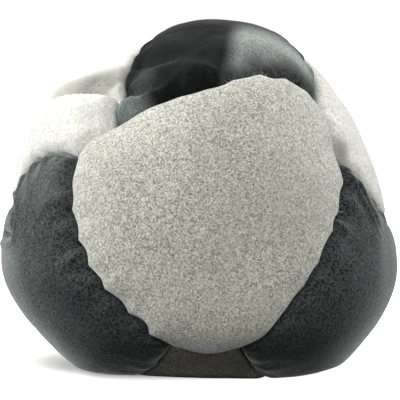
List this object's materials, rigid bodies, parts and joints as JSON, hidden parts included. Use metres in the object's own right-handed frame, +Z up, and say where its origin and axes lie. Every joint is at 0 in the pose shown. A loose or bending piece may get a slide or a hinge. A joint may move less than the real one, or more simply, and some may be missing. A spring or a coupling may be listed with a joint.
{
  "type": "footbag",
  "caption": "Small round bag for kicking games, sewn from light and dark suede panels and loosely filled with sand, resting slumped on its flattened base.",
  "frame": {"origin": "middle of the bag's outline, on the surface that it rests on", "axes": "+Z up from the resting surface, -Y toward the viewer and the middle of the large light panel, +X to the viewer's right"},
  "size_m": [0.0556, 0.0554, 0.0501],
  "materials": {
    "light_suede": "synthetic suede, pale grey, short matt nap",
    "dark_suede": "synthetic suede, charcoal, short matt nap",
    "thread": "waxed polyester sewing thread, dark",
    "sand": "loose dry sand, packed by the bag"
  },
  "bodies": {
    "root": {"light_panel_front": "light_suede", "light_panel_upper_left": "light_suede", "light_panel_right": "light_suede", "light_panel_bottom": "light_suede", "dark_panel_top": "dark_suede", "dark_panel_left": "dark_suede", "dark_panel_right": "dark_suede", "dark_panel_back": "dark_suede", "sand_fill": "sand", "thread_front_top": "thread", "thread_front_right": "thread", "thread_front_left": "thread", "thread_upper_left_top": "thread", "thread_upper_left_left": "thread", "thread_right_top": "thread", "thread_right_right": "thread", "thread_bottom_left": "thread", "thread_bottom_right": "thread", "thread_right_back": "thread", "thread_upper_left_back": "thread", "thread_bottom_back": "thread", "thread_corner_left_high": "thread", "thread_corner_right_high": "thread", "thread_corner_front_low": "thread", "thread_corner_back_high": "thread", "thread_corner_back_right": "thread", "thread_corner_back_left": "thread"}
  },
  "joints": []
}
